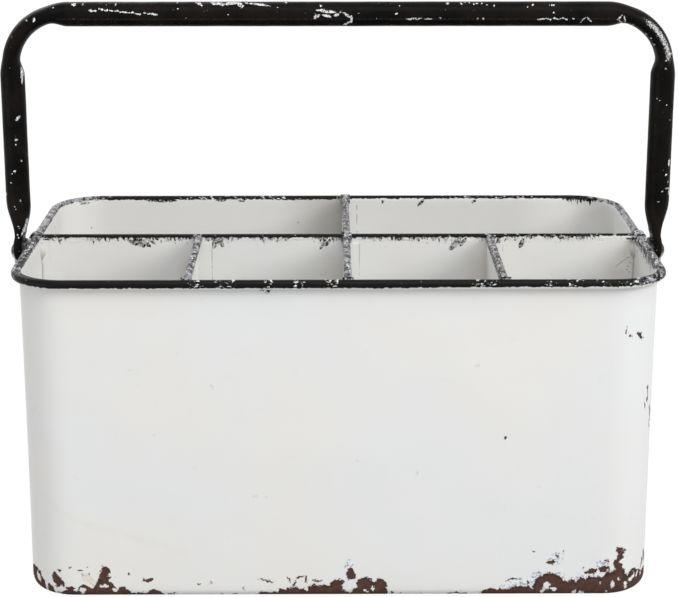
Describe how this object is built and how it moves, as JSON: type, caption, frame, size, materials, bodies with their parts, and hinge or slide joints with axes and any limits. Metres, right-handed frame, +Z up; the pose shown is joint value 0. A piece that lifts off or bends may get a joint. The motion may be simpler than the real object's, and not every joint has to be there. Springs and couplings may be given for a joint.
{
  "type": "storage caddy",
  "caption": "Open sheet-metal storage caddy with a rolled rim, soldered dividers with rolled top edges, and a tube carrying handle that swings on rivets.",
  "frame": {"origin": "on the table under the middle of the tub", "axes": "+X to the right along the tub's length, +Y to the back, +Z up; the front is the side with more compartments"},
  "size_m": [0.3652, 0.191, 0.3038],
  "materials": {
    "tub_paint": "worn gloss enamel, off-white",
    "handle_paint": "worn gloss black",
    "rivet_steel": "worn black over steel",
    "bare_steel": "dull worn steel"
  },
  "bodies": {
    "tub": {"tub_wall": "tub_paint", "rim_wire": "bare_steel", "base_tray": "tub_paint", "long_divider": "tub_paint", "left_front_divider": "tub_paint", "middle_front_divider": "tub_paint", "right_front_divider": "tub_paint", "rear_divider": "tub_paint", "left_rivet": "rivet_steel", "right_rivet": "rivet_steel", "left_spacer": "bare_steel", "right_spacer": "bare_steel", "left_washer": "bare_steel", "right_washer": "bare_steel", "left_backing_washer": "bare_steel", "right_backing_washer": "bare_steel"},
    "handle": {"handle": "handle_paint"}
  },
  "joints": [
    {"name": "handle_swing", "type": "hinge", "parent": "tub", "child": "handle", "pos_m": [0, 0, 0.1656], "axis": [1, 0, 0], "range_deg": [-131, 132]}
  ]
}
